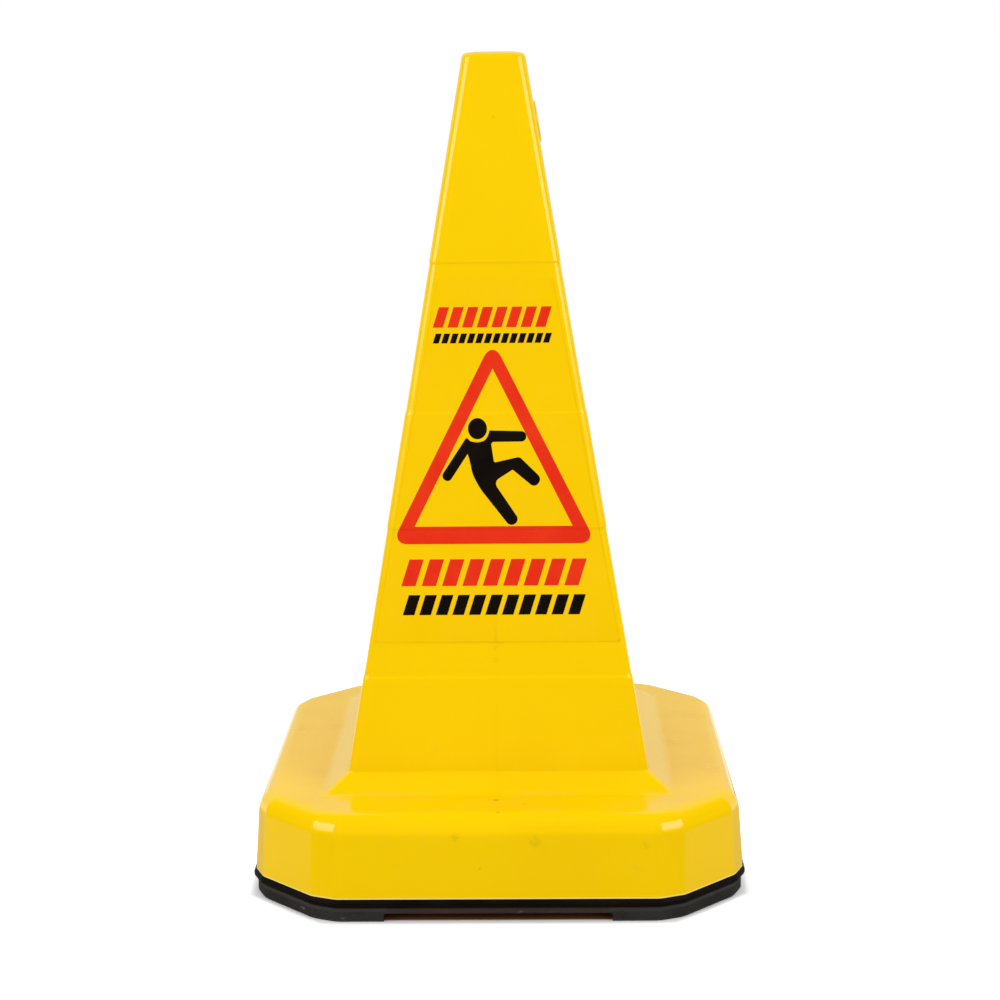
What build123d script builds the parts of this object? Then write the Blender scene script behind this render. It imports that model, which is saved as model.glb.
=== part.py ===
"""Square wet floor cone: a moulded shell with its label, on a sealed and riveted ballast base."""
import os
from math import atan2, degrees, sqrt

from build123d import *

# Plan of the skirt, in millimetres: a square whose cut corners have a small facet on both sides
skirt_width = 400.0
corner_cut = 60.0
facet_cut = 11.7

# Heights of the stack, from the floor up
foot_height = 7.0
plate_thickness = 5.1
seal_thickness = 2.0
skirt_height = 57.5
shoulder_height = 13.8
apron_height = 13.4
cone_height = 575.2

# Steps in from the skirt to the cone: slope of the skirt, of its shoulder, flat deck and sloping apron
skirt_draft = 4.1
shoulder_inset = 5.4
deck_ledge = 48.5
apron_run = 19.1

# The square cone and the two shallow bands let into it
cone_top_width = 51.0
cone_corner_radius = 7.0
cone_top_radius = 4.0
band_depth = 1.0
band_ramp = 10.0
lower_tier = 76.0
lower_band = 119.7
middle_tier = 90.0
upper_band = 123.4

# Walls and edges of the shell
wall = 3.0
rim_flange = 25.0
facet_edge_radius = 18.0
shoulder_edge_radius = 5.0
deck_edge_radius = 9.5
apron_crease_radius = 5.0
cone_crease_radius = 2.0

# Low round boss on the right-hand face
boss_diameter = 34.0
boss_proud = 3.0
boss_below_top = 56.0
boss_edge_cut = 1.8

# Label film on the front face
label_thickness = 0.3
label_foot_margin = 0.2
label_head_margin = 4.5
label_above_ramp = 18.2
label_below_lip = 14.0
label_bridge = 8.0
label_corner_radius = 3.0

# Rubber seal with a lip round the rim of the shell
lip_thickness = 1.5
lip_height = 3.5
lip_top_radius = 0.9
lip_bottom_radius = 1.8

# Ballast base: a plinth ring on four corner feet, with a rim that stands up inside the shell
plinth_inset = 1.4
plinth_corner_radius = 24.0
plinth_edge_cut = 1.0
foot_length = 109.5
notch_corner_radius = 2.0
stack_clearance = 5.0
opening_corner_radius = 14.0
inner_rim_height = 33.0
inner_rim_edge_cut = 2.0
rim_clearance = 1.0

# Blind rivets and their washers
rivet_diameter = 4.8
rivet_hole_clearance = 0.1
rivet_head_diameter = 11.0
rivet_head_height = 1.8
rivet_blind_diameter = 8.4
rivet_blind_height = 4.0
rivet_flat_diameter = 6.0
counterbore_diameter = 15.0
counterbore_floor = 4.6
washer_diameter = 14.0
washer_thickness = 1.2

# Levels worked out from the stack
seal_z = foot_height + plate_thickness
rim_z = seal_z + seal_thickness
shoulder_z = rim_z + skirt_height
deck_z = shoulder_z + shoulder_height
cone_foot_z = deck_z + apron_height
top_z = cone_foot_z + cone_height
lower_band_z = cone_foot_z + lower_tier
middle_tier_z = lower_band_z + lower_band
upper_band_z = middle_tier_z + middle_tier
top_tier_z = upper_band_z + upper_band

# Distances worked out from the sizes above
deck_inset = skirt_draft + shoulder_inset
apron_width = skirt_width - 2 * (deck_inset + deck_ledge)
cone_foot_width = apron_width - 2 * apron_run
taper = (cone_foot_width - cone_top_width) / 2 / cone_height
flange_inset = wall + rim_flange
opening_width = apron_width + 2 * stack_clearance
notch_width = skirt_width - 2 * foot_length
corner_reach = (skirt_width - corner_cut) / sqrt(2)
rivet_reach = corner_reach - wall - rim_flange / 2
rivet_seat_z = seal_z - counterbore_floor
rim_top_z = seal_z + inner_rim_height
flange_z = rim_z + wall
same_level = 0.01


def square(half_width: float) -> Sketch:
    """Square about the axis of the cone."""
    return Rectangle(2 * half_width, 2 * half_width)


def base_plan(inset: float) -> Sketch:
    """Plan of the skirt, moved in by the same distance on every side."""
    cut_square = chamfer(square(skirt_width / 2).vertices(), corner_cut)
    outline = chamfer(cut_square.vertices(), facet_cut)
    return offset(outline, -inset, kind=Kind.INTERSECTION) if inset else outline


def prism(outline: Sketch, lower_z: float, upper_z: float) -> Part:
    """Upright solid on an outline, between two heights."""
    return extrude(Pos(0, 0, lower_z) * outline, upper_z - lower_z)


def drafted(outline: Sketch, lower_z: float, upper_z: float, inset: float) -> Part:
    """Solid on an outline whose sides lean in by the same distance all round on the way up."""
    height = upper_z - lower_z
    return extrude(Pos(0, 0, lower_z) * outline, height, taper=degrees(atan2(inset, height)))


def face_distance(z: float, depth: float = 0.0) -> float:
    """Distance from the axis to a face of the cone, at a depth below its proud face."""
    return cone_foot_width / 2 - taper * (z - cone_foot_z) - depth


def cone_tier(lower_z: float, upper_z: float, depth: float = 0.0) -> Part:
    """One straight tier of the cone with rounded corners, its faces let in by a depth."""
    tier = drafted(square(face_distance(lower_z, depth)), lower_z, upper_z, taper * (upper_z - lower_z))
    return fillet(tier.edges().group_by(Axis.Z)[1], cone_corner_radius)


def end_face(body: Part, end: int) -> Face:
    """Lowest (0) or highest (-1) face of a body."""
    return body.faces().sort_by(Axis.Z)[end]


def rivet_places(z: float) -> list[Location]:
    """Places of the four rivets, one in each corner foot on the middle of the rim flange."""
    return [Rot(0, 0, turn) * Pos(rivet_reach, 0, z) for turn in (45, 135, 225, 315)]


def bores(diameter: float, lower_z: float, upper_z: float) -> Part:
    """Upright bores of one diameter at every rivet."""
    bore = prism(Circle(diameter / 2), 0, upper_z - lower_z)
    return Part() + [place * bore for place in rivet_places(lower_z)]


def rivet_bores(lower_z: float, upper_z: float) -> Part:
    """Holes that the rivet shanks pass through."""
    return bores(rivet_diameter + rivet_hole_clearance, lower_z, upper_z)


def soft_plan(inset: float) -> Sketch:
    """Plan of the skirt with its facets rounded into each other, moved in like the sharp plan."""
    return fillet(base_plan(inset).vertices(), facet_edge_radius - inset)


def skirt_block() -> Part:
    """Drafted skirt of the shell as a solid, below its shoulder."""
    return drafted(soft_plan(0), rim_z, shoulder_z, skirt_draft)


def base_block() -> Part:
    """Skirt and shoulder of the shell as a solid with softened edges."""
    block = skirt_block() + drafted(soft_plan(skirt_draft), shoulder_z, deck_z, shoulder_inset)
    block = fillet(block.edges().group_by(Axis.Z)[-1], deck_edge_radius)
    shoulder = block.edges().filter_by_position(Axis.Z, shoulder_z - same_level, shoulder_z + same_level)
    return fillet(shoulder, shoulder_edge_radius)


def cone_block() -> Part:
    """Apron and cone as a solid: three proud tiers, the two bands between them and a rounded top."""
    lower_tier_block = cone_tier(cone_foot_z, lower_band_z)
    middle_tier_block = cone_tier(middle_tier_z, upper_band_z)
    top_tier_block = cone_tier(top_tier_z, top_z)
    lower_band_block = cone_tier(lower_band_z + band_ramp, middle_tier_z, band_depth)
    upper_band_block = cone_tier(upper_band_z + band_ramp, top_tier_z, band_depth)
    apron_outline = Pos(0, 0, deck_z) * RectangleRounded(apron_width, apron_width, cone_corner_radius)
    apron = loft([apron_outline, end_face(lower_tier_block, 0)], ruled=True)
    lower_ramp = loft([end_face(lower_tier_block, -1), end_face(lower_band_block, 0)], ruled=True)
    upper_ramp = loft([end_face(middle_tier_block, -1), end_face(upper_band_block, 0)], ruled=True)
    top_edges = top_tier_block.edges().group_by(Axis.Z)[-1]
    cone = fillet(top_edges, cone_top_radius) + upper_band_block + upper_ramp + middle_tier_block
    return cone + lower_band_block + lower_ramp + lower_tier_block + apron


def core_block() -> Part:
    """Hollow of the shell: its outside moved in by the wall, and the opening inside the rim flange."""
    opening = prism(base_plan(flange_inset), rim_z, flange_z)
    skirt_lean = skirt_draft * (shoulder_z - flange_z) / skirt_height
    skirt = drafted(base_plan(wall + skirt_draft - skirt_lean), flange_z, shoulder_z, skirt_lean)
    shoulder_lean = shoulder_inset * (shoulder_height - wall) / shoulder_height
    shoulder = drafted(base_plan(skirt_draft + wall), shoulder_z, deck_z - wall, shoulder_lean)
    shoulder = fillet(shoulder.edges().group_by(Axis.Z)[-1], deck_edge_radius - wall)
    apron_half = apron_width / 2 - wall
    foot_half = cone_foot_width / 2 - wall
    top_half = cone_top_width / 2 - wall
    apron = drafted(square(apron_half), deck_z - wall, cone_foot_z - wall, apron_run)
    cone = drafted(square(foot_half), cone_foot_z - wall, top_z - wall, foot_half - top_half)
    return opening + skirt + shoulder + apron + cone


def side_boss() -> Part:
    """Round boss that stands square on the right-hand face, rooted half way into the wall."""
    boss_z = top_z - boss_below_top
    face = Plane(origin=(face_distance(boss_z), 0, boss_z), z_dir=(1, 0, taper))
    boss = prism(Circle(boss_diameter / 2), -wall / 2, boss_proud)
    return face * chamfer(boss.edges().group_by(Axis.Z)[-1], boss_edge_cut)


def square_edges(body: Part, z: float, width: float) -> ShapeList[Edge]:
    """Edges of a body at one height that lie within a square of the given width."""
    level = body.edges().filter_by_position(Axis.Z, z - same_level, z + same_level)
    reach = width / 2 + same_level
    return level.filter_by(lambda edge: max(abs(edge.center().X), abs(edge.center().Y)) < reach)


def cone_shell() -> Part:
    """Hollow yellow shell, open below inside its rim flange and drilled for the rivets."""
    outside = base_block() + cone_block()
    outside = fillet(square_edges(outside, deck_z, apron_width), apron_crease_radius)
    outside = fillet(square_edges(outside, cone_foot_z, cone_foot_width), cone_crease_radius) + side_boss()
    return outside - core_block() - rivet_bores(rim_z, flange_z)


def front_label() -> Part:
    """Film on the front face: it follows the bands and the middle tier, and bridges the lip between."""
    foot_z = lower_band_z + band_ramp + label_above_ramp
    head_z = top_tier_z - label_below_lip
    bridge_z = middle_tier_z - label_bridge
    back = [
        (-face_distance(foot_z, band_depth), foot_z),
        (-face_distance(bridge_z, band_depth), bridge_z),
        (-face_distance(middle_tier_z), middle_tier_z),
        (-face_distance(upper_band_z), upper_band_z),
        (-face_distance(upper_band_z + band_ramp, band_depth), upper_band_z + band_ramp),
        (-face_distance(head_z, band_depth), head_z),
    ]
    front = [(y - label_thickness, z) for y, z in reversed(back)]
    section = make_face(Polyline(*back, *front, close=True))
    foot_half = face_distance(foot_z, band_depth) - cone_corner_radius - label_foot_margin
    head_half = face_distance(head_z, band_depth) - cone_corner_radius - label_head_margin
    corners = [(-foot_half, foot_z), (foot_half, foot_z), (head_half, head_z), (-head_half, head_z)]
    trapezoid = make_face(Polyline(*corners, close=True))
    outline = fillet(trapezoid.vertices(), label_corner_radius)
    sheet = extrude(Plane.YZ * section, skirt_width, both=True)
    return sheet & extrude(Plane.XZ * outline, skirt_width)


def base_seal() -> Part:
    """Rubber seal under the rim flange, with a rounded lip that hides the edge of the skirt."""
    block = prism(base_plan(-lip_thickness), seal_z, rim_z + lip_height)
    block = fillet(block.edges().group_by(Axis.Z)[0], lip_bottom_radius)
    block = fillet(block.edges().group_by(Axis.Z)[-1], lip_top_radius)
    opening = prism(base_plan(flange_inset), seal_z, rim_z)
    return block - skirt_block() - opening - rivet_bores(seal_z, rim_z)


def ballast_base() -> Part:
    """Plinth ring on four corner feet, open in the middle so that cones stack, with a locating rim."""
    outline = fillet(base_plan(plinth_inset).vertices(), plinth_corner_radius)
    plinth = prism(outline, 0, seal_z)
    for end in (0, -1):
        plinth = chamfer(plinth.edges().group_by(Axis.Z)[end], plinth_edge_cut)
    rim = prism(base_plan(flange_inset + rim_clearance), seal_z, rim_top_z)
    rim = chamfer(rim.edges().group_by(Axis.Z)[-1], inner_rim_edge_cut)
    gap = Rectangle(notch_width, foot_height, align=(Align.CENTER, Align.MIN))
    gap = fillet(gap.vertices().group_by(Axis.Y)[-1], notch_corner_radius)
    notch = extrude(Plane.XZ * gap, skirt_width, both=True)
    opening = prism(RectangleRounded(opening_width, opening_width, opening_corner_radius), 0, rim_top_z)
    ring = plinth + rim - opening - notch - Rot(0, 0, 90) * notch
    return ring - rivet_bores(rivet_seat_z, seal_z) - bores(counterbore_diameter, 0, rivet_seat_z)


def base_rivets() -> Part:
    """Four blind rivets: a low head in its counterbore, a shank and the swollen blind end."""
    grip_z = flange_z + washer_thickness
    head_low_z = rivet_seat_z - rivet_head_height
    blind_high_z = grip_z + rivet_blind_height
    half_section = Polyline(
        (0, head_low_z),
        (rivet_flat_diameter / 2, head_low_z),
        (rivet_head_diameter / 2, rivet_seat_z),
        (rivet_diameter / 2, rivet_seat_z),
        (rivet_diameter / 2, grip_z),
        (rivet_blind_diameter / 2, grip_z),
        (rivet_flat_diameter / 2, blind_high_z),
        (0, blind_high_z),
        close=True,
    )
    rivet = revolve(Plane.XZ * make_face(half_section), Axis.Z)
    return Part() + [place * rivet for place in rivet_places(0)]


def rivet_washers() -> Part:
    """Four washers on the rim flange, under the blind ends of the rivets."""
    discs = bores(washer_diameter, flange_z, flange_z + washer_thickness)
    return discs - rivet_bores(flange_z, flange_z + washer_thickness)


pieces = (cone_shell, front_label, base_seal, ballast_base, base_rivets, rivet_washers)

os.makedirs("parts", exist_ok=True)
for piece in pieces:
    export_step(piece(), f"parts/{piece.__name__}.step")
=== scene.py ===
"""Studio scene of a square wet floor cone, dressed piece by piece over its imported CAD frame."""

import logging
import math
from dataclasses import dataclass
from enum import Enum
from functools import reduce
from typing import Protocol, Sequence

import bmesh
import bpy
from bmesh.types import BMEdge, BMFace, BMVert
from bpy.types import Material, Node, NodeSocket, Object, World
from mathutils import Matrix, Vector


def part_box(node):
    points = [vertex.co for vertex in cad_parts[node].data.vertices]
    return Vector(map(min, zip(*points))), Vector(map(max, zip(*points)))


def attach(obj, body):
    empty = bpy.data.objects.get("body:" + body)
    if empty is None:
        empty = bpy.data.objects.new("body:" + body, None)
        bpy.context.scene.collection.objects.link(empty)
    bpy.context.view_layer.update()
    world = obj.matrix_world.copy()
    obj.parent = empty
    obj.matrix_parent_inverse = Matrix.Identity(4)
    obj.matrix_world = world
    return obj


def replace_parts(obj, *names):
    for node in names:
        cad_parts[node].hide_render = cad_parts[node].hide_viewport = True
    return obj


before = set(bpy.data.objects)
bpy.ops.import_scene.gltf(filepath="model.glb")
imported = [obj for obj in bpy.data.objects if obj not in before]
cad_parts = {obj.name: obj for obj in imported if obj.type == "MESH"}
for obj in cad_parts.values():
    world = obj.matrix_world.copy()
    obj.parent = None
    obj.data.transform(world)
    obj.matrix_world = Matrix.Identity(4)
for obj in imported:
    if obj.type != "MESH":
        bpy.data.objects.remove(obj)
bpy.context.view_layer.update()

MM = 0.001
BODY = "root"
RIGHT = Vector((1.0, 0.0, 0.0))
DRAWING_UP = Vector((0.0, 1.0, 0.0))
WHITE = (1.0, 1.0, 1.0)
SPECK_CORE = 0.6
SPOT_CORE = 0.3
MIX_FIRST, MIX_SECOND, MIX_RESULT = 6, 7, 2
LEVEL_TOLERANCE = 1e-6
CUT_TOLERANCE = 1e-7
log = logging.getLogger("wet_floor_cone")

Colour = tuple[float, float, float]
Place = tuple[float, float, float]
Point = tuple[float, float]


def grey(value: float) -> Colour:
    """Colour without a hue."""
    return (value, value, value)


class Slot(Enum):
    """Names of the material slots of the record."""

    YELLOW = "yellow_plastic"
    FILM = "label_film"
    SEAL = "seal_rubber"


class Ease(Enum):
    """How a value runs from one end of a range to the other."""

    SMOOTH = "SMOOTHSTEP"
    EVEN = "LINEAR"


@dataclass(frozen=True)
class Cloud:
    """Cloudy pattern of a finish, and the part of its range that shows.

    Attributes:
        scale: Features per metre.
        detail: Octaves of finer noise.
        low: Noise value that becomes 0.
        high: Noise value that becomes 1.
        stretch: Scale of the pattern along each axis.
    """

    scale: float
    detail: float
    low: float
    high: float
    stretch: Place = (1.0, 1.0, 1.0)


@dataclass(frozen=True)
class Relief:
    """Fine relief of a finish: features per metre, octaves of finer noise, and depth in metres."""

    scale: float
    detail: float
    depth: float


FILM_RIPPLE = Relief(42.0, 2.0, 0.22 * MM)


class Nodes:
    """Shader nodes of one material or world, added and joined by short calls."""

    def __init__(self, owner: Material | World, output: str, coordinates: str) -> None:
        """Start with only the output and the coordinates.

        Args:
            owner: Material or world that gets the nodes.
            output: Blender's name for its output node.
            coordinates: Coordinates that the patterns lie on.
        """
        owner.use_nodes = True
        self.owner = owner
        self.tree = owner.node_tree
        self.tree.nodes.clear()
        self.output = self.add(output)
        self.place = self.add("ShaderNodeTexCoord").outputs[coordinates]

    @classmethod
    def of_material(cls, name: str) -> "Nodes":
        """Nodes of a new material, on the coordinates of the piece."""
        return cls(bpy.data.materials.new(name), "ShaderNodeOutputMaterial", "Object")

    def add(self, kind: str, **settings: object) -> Node:
        """Add one node.

        Args:
            kind: Blender's name for the node type.
            settings: Properties of the node itself.

        Returns:
            The new node.
        """
        node = self.tree.nodes.new(kind)
        for name, value in settings.items():
            setattr(node, name, value)
        return node

    def put(self, socket: NodeSocket, value: object) -> None:
        """Fill one input.

        Args:
            socket: Input to fill.
            value: Socket to join to it, or its plain value. A colour gets its alpha here.
        """
        if isinstance(value, NodeSocket):
            self.tree.links.new(value, socket)
        elif socket.type == "RGBA":
            socket.default_value = (*value, 1.0)
        else:
            socket.default_value = value

    def feed(self, node: Node, *values: object, **inputs: object) -> Node:
        """Fill the inputs of a node.

        Args:
            node: Node whose inputs are filled.
            values: Sockets or plain values for the first inputs, in order.
            inputs: The same for inputs by name, with _ for the spaces.

        Returns:
            The same node.
        """
        for socket, value in zip(node.inputs, values):
            self.put(socket, value)
        for name, value in inputs.items():
            self.put(node.inputs[name.replace("_", " ")], value)
        return node

    def noise(self, scale: float, detail: float, stretch: Place = (1.0, 1.0, 1.0)) -> NodeSocket:
        """Cloudy noise over the piece.

        Args:
            scale: Features per metre.
            detail: Octaves of finer noise.
            stretch: Scale of the pattern along each axis.

        Returns:
            The noise value, about 0 to 1.
        """
        mapping = self.feed(self.add("ShaderNodeMapping"), Vector=self.place, Scale=stretch)
        node = self.add("ShaderNodeTexNoise")
        return self.feed(node, Vector=mapping.outputs[0], Scale=scale, Detail=detail).outputs["Fac"]

    def window(self, value: NodeSocket, low: float, high: float, to_low: float = 0.0,
               to_high: float | NodeSocket = 1.0, ease: Ease = Ease.SMOOTH) -> NodeSocket:
        """Stretch part of a range over another one.

        Args:
            value: Socket to stretch.
            low: Value that becomes to_low.
            high: Value that becomes to_high.
            to_low: One end of the result.
            to_high: Other end of the result.
            ease: How the result runs between its ends.

        Returns:
            The stretched value.
        """
        node = self.add("ShaderNodeMapRange", interpolation_type=ease.value)
        self.feed(node, Value=value, From_Min=low, From_Max=high, To_Min=to_low, To_Max=to_high)
        return node.outputs["Result"]

    def fade(self, distance: NodeSocket, reach: float) -> NodeSocket:
        """1 at no distance, fading to 0 at the reach."""
        return self.window(distance, reach, 0.0)

    def cloud(self, pattern: Cloud, to_low: float = 0.0, to_high: float = 1.0) -> NodeSocket:
        """Cloudy pattern over the piece, stretched between two values."""
        noise = self.noise(pattern.scale, pattern.detail, pattern.stretch)
        return self.window(noise, pattern.low, pattern.high, to_low, to_high)

    def math(self, operation: str, *values: object) -> NodeSocket:
        """One sum on sockets or plain numbers, by Blender's name for it."""
        return self.feed(self.add("ShaderNodeMath", operation=operation), *values).outputs[0]

    def times(self, *values: object) -> NodeSocket:
        """Product of sockets and plain numbers."""
        return reduce(lambda first, second: self.math("MULTIPLY", first, second), values)

    def most(self, *values: NodeSocket) -> NodeSocket:
        """Largest of several values."""
        return reduce(lambda first, second: self.math("MAXIMUM", first, second), values)

    def blend(self, share: NodeSocket, first: object, second: object) -> NodeSocket:
        """Blend two colours.

        Args:
            share: How much of the second colour shows, from 0 to 1.
            first: Colour or socket at 0.
            second: Colour or socket at 1.

        Returns:
            The blended colour.
        """
        node = self.feed(self.add("ShaderNodeMix", data_type="RGBA"), Factor=share)
        self.put(node.inputs[MIX_FIRST], first)
        self.put(node.inputs[MIX_SECOND], second)
        return node.outputs[MIX_RESULT]

    def specks(self, per_metre: float, radius: float, odds: float) -> NodeSocket:
        """Sparse round specks.

        Args:
            per_metre: Cells per metre, each with room for one speck.
            radius: Radius of a speck as a share of its cell.
            odds: Share of the cells that have a speck.

        Returns:
            1 on a speck and 0 elsewhere.
        """
        cells = self.feed(self.add("ShaderNodeTexVoronoi"), Vector=self.place, Scale=per_metre)
        dot = self.window(cells.outputs["Distance"], radius, SPECK_CORE * radius)
        drawn = self.feed(self.add("ShaderNodeSeparateColor"), Color=cells.outputs["Color"])
        return self.times(dot, self.math("LESS_THAN", drawn.outputs[0], odds))

    def axes(self) -> tuple[NodeSocket, NodeSocket, NodeSocket]:
        """Distances along the three axes, in metres."""
        x, y, z = self.feed(self.add("ShaderNodeSeparateXYZ"), self.place).outputs
        return x, y, z

    def spot(self, centre: Place, radius: float) -> NodeSocket:
        """One soft round spot: 1 in its middle and 0 outside its radius."""
        node = self.feed(self.add("ShaderNodeVectorMath", operation="DISTANCE"), self.place, centre)
        return self.window(node.outputs["Value"], radius, SPOT_CORE * radius)

    def bump(self, relief: Relief, under: NodeSocket | None = None) -> NodeSocket:
        """Normal of a fine relief.

        Args:
            relief: Pattern and depth of the relief.
            under: Normal of a relief that this one lies on, if any.

        Returns:
            The normal for the shader.
        """
        height = self.noise(relief.scale, relief.detail)
        node = self.feed(self.add("ShaderNodeBump"), Height=height, Distance=relief.depth, Strength=1.0)
        if under is not None:
            self.feed(node, Normal=under)
        return node.outputs["Normal"]

    def close(self, shader: Node) -> Material | World:
        """Join the last shader to the output and hand over the owner of the nodes."""
        self.feed(self.output, Surface=shader.outputs[0])
        return self.owner

    def surface(self, **inputs: object) -> Material:
        """Close the material with its surface shader, whose inputs are given as for feed."""
        return self.close(self.feed(self.add("ShaderNodeBsdfPrincipled"), **inputs))


@dataclass(frozen=True)
class MouldedPlastic:
    """Glossy moulded polyethylene with slight waves, scuffs, marks of handling, a little dirt and a painted
    highlight along the rim.

    Attributes:
        dirt_top: Height up to which smudges and specks are found.
        deck_from: Height from which the flat base top is dulled by handling.
        deck_to: Height up to which it is dulled.
        deck_fade: Height over which the dullness comes and goes.
        rim_highlight_from: Height at which the painted highlight along the rim starts.
        rim_highlight_to: Height at which it is there in full.
        marks: Place and radius in millimetres, and strength, of single spots of dirt.
    """

    colour: Colour = (0.940, 0.602, 0.0004)
    deep: Colour = (0.915, 0.578, 0.0004)
    scuff: Colour = (0.80, 0.50, 0.04)
    dirt: Colour = (0.20, 0.10, 0.008)
    # pale: colour of the painted highlight along the lower rim
    pale: Colour = (0.95, 0.76, 0.26)
    specular: float = 0.5
    smooth_roughness: float = 0.08
    scuffed_roughness: float = 0.16
    deck_dullness: float = 0.20
    drift: Cloud = Cloud(7.0, 3.0, 0.35, 0.68)
    streaks: Cloud = Cloud(60.0, 4.0, 0.60, 0.78, (1.0, 1.0, 0.22))
    smudges: Cloud = Cloud(38.0, 5.0, 0.62, 0.80)
    handling: Cloud = Cloud(34.0, 5.0, 0.42, 0.72, (0.55, 1.0, 1.0))
    crumbs: Cloud = Cloud(420.0, 3.0, 0.35, 0.62)
    waves: Relief = Relief(16.0, 1.0, 0.35 * MM)
    grain: Relief = Relief(1400.0, 2.0, 0.012 * MM)
    smudge_share: float = 0.30
    handling_share: float = 0.22
    rim_highlight_share: float = 0.85
    speck_share: float = 0.75
    specks_per_metre: float = 70.0
    speck_radius: float = 0.05
    speck_odds: float = 0.16
    dirt_top: float = 120 * MM
    deck_from: float = 85.2 * MM
    deck_to: float = 88.0 * MM
    deck_fade: float = 1.2 * MM
    rim_highlight_from: float = 20.6 * MM
    rim_highlight_to: float = 19.7 * MM
    marks: tuple[tuple[float, float, float, float, float], ...] = (
        (-1.6, -154.3, 85.4, 4.2, 0.5), (0.0, -183.0, 85.2, 2.6, 0.4), (-0.2, -34.1, 623.1, 2.4, 0.13),
        (-33.3, -196.5, 68.9, 5.0, 0.16), (29.5, -196.5, 65.3, 7.0, 0.16), (115.8, -196.5, 62.4, 5.0, 0.16),
        (-86.7, -179.5, 85.4, 2.0, 0.4), (78.0, -150.6, 85.4, 2.2, 0.4), (21.7, -164.3, 85.4, 2.2, 0.3),
        (-1.2, -106.1, 198.5, 3.2, 0.14), (-1.2, -107.8, 189.0, 4.4, 0.09),
    )

    def material(self) -> Material:
        """Make the yellow plastic of the shell.

        Returns:
            The material.
        """
        nodes = Nodes.of_material("moulded_yellow_plastic")
        height = nodes.axes()[2]
        low = nodes.fade(height, self.dirt_top)
        smudges = nodes.times(nodes.cloud(self.smudges), low)
        specks = nodes.times(nodes.specks(self.specks_per_metre, self.speck_radius, self.speck_odds), low)
        above_edge = nodes.window(height, self.deck_from - self.deck_fade, self.deck_from)
        below_apron = nodes.window(height, self.deck_to, self.deck_to - self.deck_fade)
        dull = nodes.times(nodes.cloud(self.handling), above_edge, below_apron)
        base = nodes.blend(nodes.cloud(self.drift), self.colour, self.deep)
        handled = nodes.blend(nodes.times(dull, self.handling_share), base, self.scuff)
        worn = nodes.blend(nodes.times(smudges, self.smudge_share), handled, self.scuff)
        # Painted highlight: a pale band along the lower rim stands in for light caught by the rim's edge.
        painted_rim_highlight_mask = nodes.times(nodes.window(height, self.rim_highlight_from, self.rim_highlight_to), self.rim_highlight_share)
        edge = nodes.blend(painted_rim_highlight_mask, worn, self.pale)
        marks = [
            nodes.times(nodes.spot((x * MM, y * MM, z * MM), radius * MM), strength)
            for x, y, z, radius, strength in self.marks
        ]
        soiled = nodes.most(nodes.times(specks, self.speck_share), *marks)
        dirty = nodes.blend(nodes.times(soiled, nodes.cloud(self.crumbs)), edge, self.dirt)
        scuffs = nodes.most(nodes.cloud(self.streaks), smudges)
        scuffed = nodes.window(scuffs, 0.0, 1.0, self.smooth_roughness, self.scuffed_roughness)
        rough = nodes.math("ADD", scuffed, nodes.times(dull, self.deck_dullness))
        relief = nodes.bump(self.grain, nodes.bump(self.waves))
        return nodes.surface(
            Base_Color=dirty, Roughness=rough, Normal=relief, Specular_IOR_Level=self.specular
        )


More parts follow.
